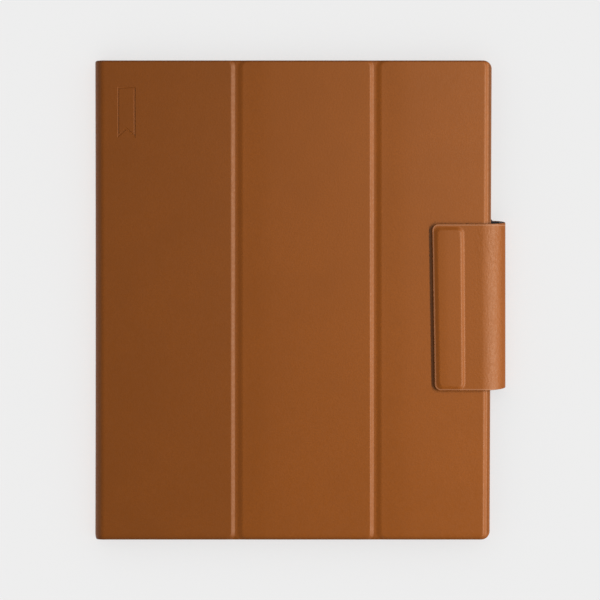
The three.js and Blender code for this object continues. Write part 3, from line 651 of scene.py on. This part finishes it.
tan = leather("tan_leather", cover_edge_shade)
strap_tan = leather("tan_strap_leather", strap_edge_shade, strap_highlight_and_wrinkles)
black_lining = microfibre()
FINISHES = {
    "tan_leather": tan,
    "lining": black_lining,
    "board": plain("grey_board", (0.26, 0.24, 0.2), 0.9, grain=0.6, relief=0.03),
    "magnet": plain("nickel", (0.55, 0.56, 0.58), 0.28, 1.0),
    "sheet_steel": plain("sheet_steel", (0.42, 0.43, 0.45), 0.36, 1.0),
    "dark_plastic": plain("dark_plastic", (0.026, 0.027, 0.03), 0.5, grain=0.3, relief=0.012),
    "black_plastic": plain("black_plastic", (0.010, 0.010, 0.011), 0.42, grain=0.3),
    "border_ink": plain("border_ink", (0.012, 0.012, 0.013), 0.35),
    "glass": see_through("etched_glass", (0.7, 0.72, 0.72), 0.22, 0.06),
    "clear_acrylic": see_through("clear_acrylic", (0.8, 0.82, 0.82), 0.3, 0.03),
    "epaper": page(),
    "digitizer": plain("digitizer", (0.2, 0.22, 0.24), 0.35, 0.3),
    "magnesium": plain("magnesium", (0.3, 0.31, 0.32), 0.45, 0.9),
    "battery_foil": plain("battery_foil", (0.02, 0.022, 0.024), 0.3),
    "circuit_board": plain("circuit_board", (0.012, 0.07, 0.04), 0.4),
    "copper_flex": plain("copper_flex", (0.5, 0.2, 0.045), 0.35, 0.2),
}

# ---------------------------------------------------------------- folio: outline and settled shape
FRONT_INNER = FRONT_LINING + SUNK
BACK_INNER = BACK_LINING - SUNK
cover = Outline(RIGHT, 1, -TOP, TOP, CORNER, EDGE_RIGHT, EDGE_BOTTOM, EDGE_TOP)
inlay = Outline(
    RIGHT - BORDER, 1, BORDER - TOP, TOP - BORDER, CORNER - BORDER + 1,
    LINING_EDGE, LINING_EDGE, LINING_EDGE,
)
BOARDS = (
    (LEFT - 2 * SOFT_REACH, FOLDS[0] - FOLD_HALF),
    (FOLDS[0] + SOFT_FOLD_HALF, FOLDS[1] - FOLD_HALF),
    (FOLDS[1] + SOFT_FOLD_HALF, RIGHT - RIM),
)


def settle(x, y, z):
    """The small lean and bow that a used folio has."""
    bow = BOW * (1 - (y / TOP) ** 2) * smooth((LEFT + BOW_REACH - x) / BOW_REACH)
    lean = SKEW * (y / TOP) * smooth((x - SKEW_START) / (RIGHT - SKEW_START))
    return (x + bow + lean, y, z)


def waves(x, y, seed):
    """The slow rise and fall of leather over a board."""
    return SAG * noise.noise(Vector((x, y, seed)) / SAG_SIZE)


def round_off(outline, x, y, outer_z, inner_z):
    """The outer and inner point of a flat slab at one place, with its edge rounded."""
    middle = (outer_z + inner_z) / 2
    full = outline.fullness(x, y)
    return (
        settle(x, y, middle + (outer_z - middle) * full),
        settle(x, y, middle + (inner_z - middle) * full),
    )


def front_height(x, y):
    """The front's outer face: leather over boards, and thin leather in the folds and on the rim."""
    reach = TOP + BOARD_OVERHANG
    board = 0.0
    for x0, x1 in BOARDS:
        left_half = 2 * x < x0 + x1
        near = x0 + (x - x0) * SHOULDER / SOFT_SHOULDER if left_half else x
        inside = inside_rectangle(near, y, x0, -reach, x1, reach, BOARD_CORNER)
        full = SOFT_RISE + (1 - SOFT_RISE) * smooth((x - x0) / SOFT_REACH)
        board = max(board, full * smooth((inside + SHOULDER) / (2 * SHOULDER)))
    sag = waves(x, y, 0) * board * smooth((x - LEFT - SPINE_ROUND) / SOFT_REACH)
    return WEB + (FRONT - WEB) * board + sag


BOARD_TOP = high("panel_1_board").z + BOARD_CLEARANCE
BOARD_ROOM = 0.2        # the leather stays this far clear of a board's edge
POCKET_WALL = 0.3


def pocket(x, y, board):
    """1 over a board, and 0 outside it and in the border, where leather is turned in under it."""
    start, end = low(board), high(board)
    reach = min(end.y, TOP - BORDER) - POCKET_WALL
    inside = min(x - start.x, end.x - x, y + reach, reach - y) + BOARD_ROOM
    return smooth(inside / POCKET_WALL)


def front_leather(x, y):
    x = cover.column(x, y)
    outer = front_height(x, y)
    room = max(pocket(x, y, f"panel_{i}_board") for i in (1, 2, 3))
    roof = max(outer - LEATHER, BOARD_TOP)
    return round_off(cover, x, y, outer, FRONT_INNER + (roof - FRONT_INNER) * room)


def front_lining(x, y):
    x = inlay.column(x, y)
    return round_off(inlay, x, y, FRONT_INNER + OVERLAP, FRONT_LINING)


def back_leather(x, y):
    x = cover.column(x, y)
    outer = max(0.0, waves(x, y, BACK_SAG_SEED))
    room = pocket(x, y, "back_board")
    return round_off(cover, x, y, outer, BACK_INNER + (LEATHER - BACK_INNER) * room)


def back_lining(x, y):
    x = inlay.column(x, y)
    return round_off(inlay, x, y, BACK_INNER - OVERLAP, BACK_LINING)


# ---------------------------------------------------------------- folio: pressed mark
# A plain bookmark outline, a ribbon with a notched end, is pressed into the first panel.
MARK_X, MARK_Y = -79.4, 89.8
MARK_HALF_WIDTH = 3.9
MARK_HALF_HEIGHT = 11.5
MARK_NOTCH = 3.6
MARK_LINE = 0.85        # width of the pressed line where it meets the surface
MARK_DEPTH = 0.22
RING = 24               # points round the tool that presses it


def bookmark_path():
    left, right = MARK_X - MARK_HALF_WIDTH, MARK_X + MARK_HALF_WIDTH
    bottom, top = MARK_Y - MARK_HALF_HEIGHT, MARK_Y + MARK_HALF_HEIGHT
    notch = (MARK_X, bottom + MARK_NOTCH)
    corners = [(left, top), (left, bottom), notch, (right, bottom), (right, top)]
    return [Vector(corner) for corner in corners]


def closed_tube(path, radius, height):
    """A round tube along a closed path of corners, mitred at each."""
    bm = bmesh.new()
    rings = []
    for before, corner, after in zip(path[-1:] + path[:-1], path, path[1:] + path[:1]):
        into, out = (corner - before).normalized(), (after - corner).normalized()
        across = Vector((-(into + out).y, (into + out).x)).normalized()
        stretch = 1 / across.dot(Vector((-into.y, into.x)))
        ring = []
        for i in range(RING):
            angle = 2 * math.pi * i / RING
            flat = corner + across * (radius * stretch * math.cos(angle))
            point = Vector((flat.x, flat.y, height + radius * math.sin(angle)))
            ring.append(bm.verts.new(point * MM))
        rings.append(ring)
    for ring, following in zip(rings, rings[1:] + rings[:1]):
        for i in range(RING):
            j = (i + 1) % RING
            bm.faces.new((ring[i], ring[j], following[j], following[i]))
    bmesh.ops.recalc_face_normals(bm, faces=bm.faces)
    mesh = bpy.data.meshes.new("press_tool")
    bm.to_mesh(mesh)
    bm.free()
    return mesh


def press_bookmark(piece):
    half_line = MARK_LINE / 2
    radius = (half_line**2 + MARK_DEPTH**2) / (2 * MARK_DEPTH)
    surface = front_height(MARK_X, MARK_Y)
    mesh = closed_tube(bookmark_path(), radius, surface - MARK_DEPTH + radius)
    tool = bpy.data.objects.new("press_tool", mesh)
    bpy.context.collection.objects.link(tool)
    press = piece.modifiers.new("press", "BOOLEAN")
    press.operation = "DIFFERENCE"
    press.solver = "EXACT"
    press.object = tool
    evaluated = piece.evaluated_get(bpy.context.evaluated_depsgraph_get())
    pressed = bpy.data.meshes.new_from_object(evaluated)
    piece.modifiers.remove(press)
    plain_mesh, piece.data = piece.data, pressed
    bpy.data.meshes.remove(plain_mesh)
    bpy.data.objects.remove(tool)
    bpy.data.meshes.remove(mesh)
    pressed.shade_smooth()
    pressed.set_sharp_from_angle(angle=math.radians(PRESSED_ANGLE))


# ---------------------------------------------------------------- folio: covers
FLAT_START = LEFT + SPINE_ROUND + SPINE_FLAT


def fine_edge(outline):
    """Columns for the last stretch before the free edge: wide spacing, then the rim's slope."""
    slope_start = high("panel_3_board").x - POCKET_WALL
    return join_runs(
        steps(FOLDS[1] + BEND_HALF, slope_start, GRID),
        outline.edge_columns(slope_start, FINE),
    )


def cover_stretch(place, faces, columns, nodes, body=None, bend=None, marked=False):
    """The leather and the lining of one stretch of the folio. faces and columns are pairs."""
    layers = (
        ("leather", "tan_leather", "skin", cover, tan),
        ("lining", "lining", "lining", inlay, black_lining),
    )
    for k, (layer, slot, suffix, outline, material) in enumerate(layers):
        piece = slab(f"{layer}_{place}", columns[k], outline.rows(), faces[k], material)
        if marked and layer == "leather":
            press_bookmark(piece)
        fit_out(piece, slot, [f"{node}_{suffix}" for node in nodes], body, bend)


def front_cover():
    faces = (front_leather, front_lining)
    flats = (
        (FLAT_START, FOLDS[0] - BEND_HALF),
        (FOLDS[0] + BEND_HALF, FOLDS[1] - BEND_HALF),
    )
    for i, (start, end) in enumerate(flats, 1):
        columns, panel = steps(start, end, GRID), f"panel_{i}"
        cover_stretch(panel, faces, (columns, columns), [panel], body=panel, marked=i == 1)
    columns = (fine_edge(cover), fine_edge(inlay))
    cover_stretch("panel_3", faces, columns, ["panel_3"], body="panel_3")

    near = FOLD_HALF + 2 * SHOULDER
    for i, fold in enumerate(FOLDS, 1):
        columns = stations(
            fold - BEND_HALF, fold + BEND_HALF, FOLD_GRID, (fold - near, fold + near, FOLD_FINE)
        )
        a, b = f"panel_{i}", f"panel_{i + 1}"
        bend = (a, b, (fold - BEND_START, 0, WEB), (fold + BEND_END, 0, WEB))
        cover_stretch(f"fold_{i}", faces, (columns, columns), [a, b], bend=bend)


def back_columns(outline):
    slope_start = RIGHT - 3 * CORNER
    return join_runs(
        steps(FLAT_START, slope_start, GRID),
        outline.edge_columns(slope_start, SHOULDER),
    )


def back_cover():
    columns = (back_columns(cover), back_columns(inlay))
    cover_stretch("back", (back_leather, back_lining), columns, ["back"], body="back_cover")


# ---------------------------------------------------------------- folio: spine
# The path runs along the spine's outside from its middle, round the corner, on to a cover's flat.
# up is 1 towards the front cover and -1 towards the back. The path's values are 0 to 1 on the
# straight, 1 to 2 on the round, and 2 to 3 on the flat.
def spine_point(path, up, inset, flat_inset):
    face = FRONT if up > 0 else 0.0
    centre_x, centre_z = LEFT + SPINE_ROUND, face - up * SPINE_ROUND
    if path <= 1:
        middle = FRONT / 2
        return LEFT + inset, middle + (centre_z - middle) * path
    if path <= 2:
        angle = math.pi / 2 * (path - 1)
        depth = inset + (flat_inset - inset) * 0.5 * smooth(path - 1)
        radius = SPINE_ROUND - depth
        return centre_x - radius * math.cos(angle), centre_z + up * radius * math.sin(angle)
    share = path - 2
    depth = inset + (flat_inset - inset) * (0.5 + 0.5 * smooth(share))
    return centre_x + SPINE_FLAT * share, face - up * depth


def spine_sheet(up, outline, outer, inner):
    """Faces for slab(): outer and inner are (inset at the spine, inset on the flat)."""

    def faces(path, y):
        full = outline.fullness(LEFT, y)
        x0, z0 = spine_point(path, up, *outer)
        x1, z1 = spine_point(path, up, *inner)
        middle_x, middle_z = (x0 + x1) / 2, (z0 + z1) / 2
        return tuple(
            settle(middle_x + (x - middle_x) * full, y, middle_z + (z - middle_z) * full)
            for x, z in ((x0, z0), (x1, z1))
        )

    return faces


def spine():
    columns = join_runs(steps(0, 1, 0.5), steps(1, 2, 1 / SPINE_ROUND_STEPS), steps(2, 3, 0.5))
    sides = (
        ("high", 1, "spine", "panel_1", FRONT - FRONT_INNER, FRONT - FRONT_LINING),
        ("low", -1, "spine", "back_cover", BACK_INNER, BACK_LINING),
    )
    for name, up, a, b, flat_leather, flat_lining in sides:
        face = FRONT if up > 0 else 0.0
        straight = SPINE_STRAIGHT if up > 0 else 0.0
        start = (LEFT + straight, 0, face - up * (SPINE_ROUND - straight))
        bend = (a, b, start, (LEFT + SPINE_ROUND, 0, face))
        faces = (
            spine_sheet(up, cover, (0, 0), (SPINE_LEATHER, flat_leather)),
            spine_sheet(up, inlay, (SPINE_LEATHER - OVERLAP, flat_leather - OVERLAP),
                        (SPINE_LEATHER + SPINE_LINING, flat_lining)),
        )
        cover_stretch(f"spine_{name}", faces, (columns, columns), ["spine"], bend=bend)


# ---------------------------------------------------------------- strap and flap
# The strap's path is an angle. From -90 to 0 it is on the round lower quarter of the wrap, and from
# 0 to 90 on the upper one. Below -90 it runs flat into the back cover, and above 90 flat along the
# front, a millimetre a unit.
LOWER_CENTRE_X = STRAP_RIGHT - STRAP_RADIUS
UPPER_CENTRE_X = STRAP_RIGHT - UPPER_REACH
STRETCH = STRAP_RADIUS / UPPER_REACH
FAR_FROM_END = FLAP_FLAT_END + 100      # an x at which only the strap's long edges are near
ROOT_END = -45          # where the strap's root piece ends and its wrap piece begins
WRAP_END = 45           # how far the wrap piece's leather has turned from upright at its end,
CURL_END = 82           # and where the crown piece has done its bending


def upper_angle(turn):
    """The path value at which the leather of the upper quarter has turned this far from upright."""
    slope = math.tan(math.radians(turn)) * STRETCH
    return math.degrees(math.atan(slope ** (UPPER_POWER / (2 * (UPPER_POWER - 1)))))


def strap_path(path):
    """(x, z) on the strap's outside and the direction it faces."""
    if path < -90:
        return LOWER_CENTRE_X + path + 90, STRAP_CENTRE_Z - STRAP_RADIUS, 0.0, -1.0
    if path > 90:
        return UPPER_CENTRE_X - path + 90, STRAP_TOP, 0.0, 1.0
    angle = math.radians(path)
    if path < 0:
        nx, nz = math.cos(angle), math.sin(angle)
        return LOWER_CENTRE_X + STRAP_RADIUS * nx, STRAP_CENTRE_Z + STRAP_RADIUS * nz, nx, nz
    across, up = math.cos(angle) ** (2 / UPPER_POWER), math.sin(angle) ** (2 / UPPER_POWER)
    nx, nz = across ** (UPPER_POWER - 1) / UPPER_REACH, up ** (UPPER_POWER - 1) / STRAP_RADIUS
    size = math.hypot(nx, nz)
    return (UPPER_CENTRE_X + UPPER_REACH * across, STRAP_CENTRE_Z + STRAP_RADIUS * up,
            nx / size, nz / size)


def strap_y(path, x, y):
    """The strap leans a little as it goes round, and is wider where it leaves the back cover."""
    side = (y - STRAP_MIDDLE) / STRAP_HALF
    root = smooth((90 - path) / 180)
    mean = (STRAP_SKEW_TOP + STRAP_SKEW_BOTTOM) / 2
    spread = (STRAP_SKEW_TOP - STRAP_SKEW_BOTTOM) / 2
    shifted = y + root * (mean + spread * side)
    if path < ROOT_END:
        gap = min(max(FILLET - (x - RIGHT), 0), FILLET)
        shifted += side * (FILLET - math.sqrt(FILLET**2 - gap**2))
    return shifted


def flap_x(x, y):
    return x + FLAP_LEAN * (FLAP_LEAN_Y - y) * smooth((UPPER_CENTRE_X - x) / FLAP_LEAN_REACH)


def strap_sheet(outline, outer_depth, inner_depth):
    """Faces for slab(), between two depths under the strap's outside."""

    def faces(path, y):
        full = outline.fullness(FAR_FROM_END, y)
        x, z, nx, nz = strap_path(path)
        middle = (outer_depth + inner_depth) / 2
        points = []
        for depth in (outer_depth, inner_depth):
            inset = middle + (depth - middle) * full
            points.append((flap_x(x - nx * inset, y), strap_y(path, x, y), z - nz * inset))
        return tuple(points)

    return faces


def pad_height(x, y):
    """How far the stiff pad at the flap's end stands above the thin strap."""
    shoulder = PAD_SHOULDER if 2 * x > PAD_LOW.x + PAD_HIGH.x else PAD_SOFT_SHOULDER
    inside = inside_rectangle(
        x, y, PAD_LOW.x - shoulder, STRAP_LOW + PAD_RIM_LOW,
        PAD_HIGH.x + shoulder, STRAP_HIGH - PAD_RIM_HIGH, PAD_CORNER,
    )
    full = PAD_SOFT_RISE + (1 - PAD_SOFT_RISE) * smooth((x - FLAP_LEFT) / PAD_SOFT_REACH)
    return PAD_RISE * full * smooth((inside + shoulder) / (2 * shoulder))


def pad_room(x, y):
    """1 over the flap's board, and 0 outside it."""
    inside = min(x - PAD_LOW.x, PAD_HIGH.x - x, y - PAD_LOW.y, PAD_HIGH.y - y) + BOARD_ROOM
    return smooth(inside / POCKET_WALL)


def flap_sheet(outline, outer_depth, inner_depth, padded):
    """Faces for slab(), for the flap's flat end, with the pad in it or without."""

    def faces(x, y):
        x = outline.column(x, y)
        outer_z, inner_z = STRAP_TOP - outer_depth, STRAP_TOP - inner_depth
        middle = (outer_z + inner_z) / 2
        if padded:
            outer_z += pad_height(x, y)
            inner_z += (PAD_RISE - PAD_THICKENING) * pad_room(x, y)
        full = outline.fullness(x, y)
        return tuple(
            (flap_x(x, y), y, middle + (z - middle) * full) for z in (outer_z, inner_z)
        )

    return faces


def flap_columns(outline):
    pad_end, pad_start = PAD_HIGH.x - 1, PAD_LOW.x + 1
    return join_runs(
        steps(FLAP_FLAT_END, pad_end, STRAP_FINE),
        steps(pad_end, pad_start, STRAP_GRID),
        outline.edge_columns(pad_start, STRAP_FINE),
    )


def strap_plan(inset, edge):
    """The strap's outline, drawn in by inset on every side."""
    return Outline(
        FLAP_LEFT + inset, -1, STRAP_LOW + inset, STRAP_HIGH - inset, FLAP_CORNER - inset,
        edge, edge, edge,
    )


def strap_place(path):
    x, z, _, _ = strap_path(path)
    return (x, 0, z)


def strap():
    layers = (
        ("leather", "tan_leather", "skin", strap_plan(0, STRAP_EDGE), 0.0, LEATHER, strap_tan),
        ("lining", "lining", "lining", strap_plan(STRAP_LINING_INSET, STRAP_LINING_EDGE),
         LEATHER - OVERLAP, STRAP_THICKNESS, black_lining),
    )
    wrap_end, crown_end = upper_angle(WRAP_END), upper_angle(CURL_END)
    flat_end = 90 + UPPER_CENTRE_X - FLAP_FLAT_END
    root_columns = join_runs(
        steps(-90 - ROOT_LENGTH, -90, STRAP_GRID), steps(-90, ROOT_END, STRAP_TURN)
    )
    wrap_columns = steps(ROOT_END, wrap_end, STRAP_TURN)
    crown_columns = join_runs(
        steps(wrap_end, 90, STRAP_TURN), steps(90, flat_end, STRAP_GRID)
    )
    runs = (
        ("root", root_columns, ("back_cover", "strap_lower"), (-90, ROOT_END)),
        ("wrap", wrap_columns, ("strap_lower", "strap_upper"), (ROOT_END, wrap_end)),
        ("crown", crown_columns, ("strap_upper", "flap"), (wrap_end, crown_end)),
    )
    for layer, slot, suffix, plan, outer, inner, material in layers:
        for name, columns, bodies, bend_paths in runs:
            piece = slab(f"{layer}_strap_{name}", columns, plan.rows(),
                         strap_sheet(plan, outer, inner), material)
            nodes = ["strap_tongue" if b == "back_cover" else f"{b}_{suffix}" for b in bodies]
            fit_out(piece, slot, nodes, bend=(*bodies, *map(strap_place, bend_paths)))
        piece = slab(f"{layer}_flap", flap_columns(plan), plan.rows(),
                     flap_sheet(plan, outer, inner, layer == "leather"), material)
        fit_out(piece, slot, [f"flap_{suffix}"], body="flap")


front_cover()
back_cover()
spine()
strap()

# ---------------------------------------------------------------- reader: the CAD's own solids
SOFT_EDGES = {
    "rear_shell": 0.3, "front_bezel": 0.3, "cover_glass": 0.15, "power_button": 0.3,
    "card_tray": 0.15, "usb_c_socket": 0.06,
}
BEVEL_STEPS = 3
BEVEL_ANGLE = 40        # degrees; flatter edges are left alone


def finish_nodes():
    for part in frame["record"]["subparts"]:
        node = frame["nodes"][part["node"]]
        node.data.materials.clear()
        node.data.materials.append(FINISHES[part["material_slot"]])
    for name, width in SOFT_EDGES.items():
        node = frame["nodes"][name]
        bevel = node.modifiers.new("soft_edges", "BEVEL")
        bevel.width = width * MM
        bevel.segments = BEVEL_STEPS
        bevel.limit_method = "ANGLE"
        bevel.angle_limit = math.radians(BEVEL_ANGLE)
        bevel.harden_normals = True


finish_nodes()

# ---------------------------------------------------------------- stage
FIELD_WIDTH = 286.5     # what the frame shows at the front cover's height
CAMERA_X = 3.47
CAMERA_HEIGHT = 1300    # above the front cover
FLOOR_HALF = 6000
FLOOR_Z = -0.02
FLOOR_TONE = (0.8, 0.8, 0.8)
ROOM_LIGHT = 0.28       # the even light from all round
BACKDROP_TONE = 0.83    # what the camera sees beyond the floor
LAMPS = {               # place, power in watts, width and height
    "gloss": ((230, 150, 560), 0.9, 250, 250),
    "fill": ((-700, -60, 200), 0.7, 500, 500),
    "key": ((520, -20, 400), 5.9, 800, 70),
}
FLOOR_SUN = (0, 0, 1000)
FLOOR_SUN_STRENGTH = 2.48


def camera():
    data = bpy.data.cameras.new("camera")
    data.lens = data.sensor_width * CAMERA_HEIGHT / FIELD_WIDTH
    eye = bpy.data.objects.new("camera", data)
    eye.location = Vector((CAMERA_X, 0, FRONT + CAMERA_HEIGHT)) * MM
    bpy.context.collection.objects.link(eye)
    bpy.context.scene.camera = eye


def floor():
    half = FLOOR_HALF
    mesh = bpy.data.meshes.new("floor")
    corners = [(-half, -half), (half, -half), (half, half), (-half, half)]
    mesh.from_pydata([Vector((x, y, FLOOR_Z)) * MM for x, y in corners], [], [(0, 1, 2, 3)])
    mesh.materials.append(Shader("pale_floor", FLOOR_TONE, 0.9, specular=0.0).material)
    sheet = bpy.data.objects.new("floor", mesh)
    bpy.context.collection.objects.link(sheet)
    return sheet


def lamp(name, kind, place, power, lit):
    """A light at a place, aimed at the origin, for the objects in lit."""
    data = bpy.data.lights.new(name, kind)
    data.energy = power
    source = bpy.data.objects.new(name, data)
    source.location = Vector(place) * MM
    source.rotation_euler = (-Vector(place)).to_track_quat("-Z", "Y").to_euler()
    bpy.context.collection.objects.link(source)
    group = bpy.data.collections.new(name)
    for piece in lit:
        group.objects.link(piece)
    source.light_linking.receiver_collection = group
    return source


def studio(ground):
    """The part has a long soft key light at its right, a weak fill at its left, and a light above
    that only adds gloss. The floor has its own light, from straight above."""
    world = bpy.data.worlds.new("studio")
    bpy.context.scene.world = world
    world.use_nodes = True
    tree = world.node_tree
    rays, level = tree.nodes.new("ShaderNodeLightPath"), tree.nodes.new("ShaderNodeMapRange")
    level.inputs["To Min"].default_value = ROOM_LIGHT
    level.inputs["To Max"].default_value = BACKDROP_TONE
    tree.links.new(rays.outputs["Is Camera Ray"], level.inputs["Value"])
    sky = tree.nodes["Background"]
    sky.inputs["Color"].default_value = (1.0, 1.0, 1.0, 1)
    tree.links.new(level.outputs[0], sky.inputs["Strength"])
    pieces = [o for o in bpy.data.objects if o.type == "MESH" and o != ground]
    for name, (place, power, width, height) in LAMPS.items():
        source = lamp(name, "AREA", place, power, pieces)
        source.data.shape = "RECTANGLE"
        source.data.size, source.data.size_y = width * MM, height * MM
        source.visible_diffuse = name != "gloss"
    lamp("backdrop", "SUN", FLOOR_SUN, FLOOR_SUN_STRENGTH, [ground])
    bpy.context.scene.view_settings.view_transform = "Standard"
    bpy.context.scene.view_settings.look = "None"


camera()
studio(floor())
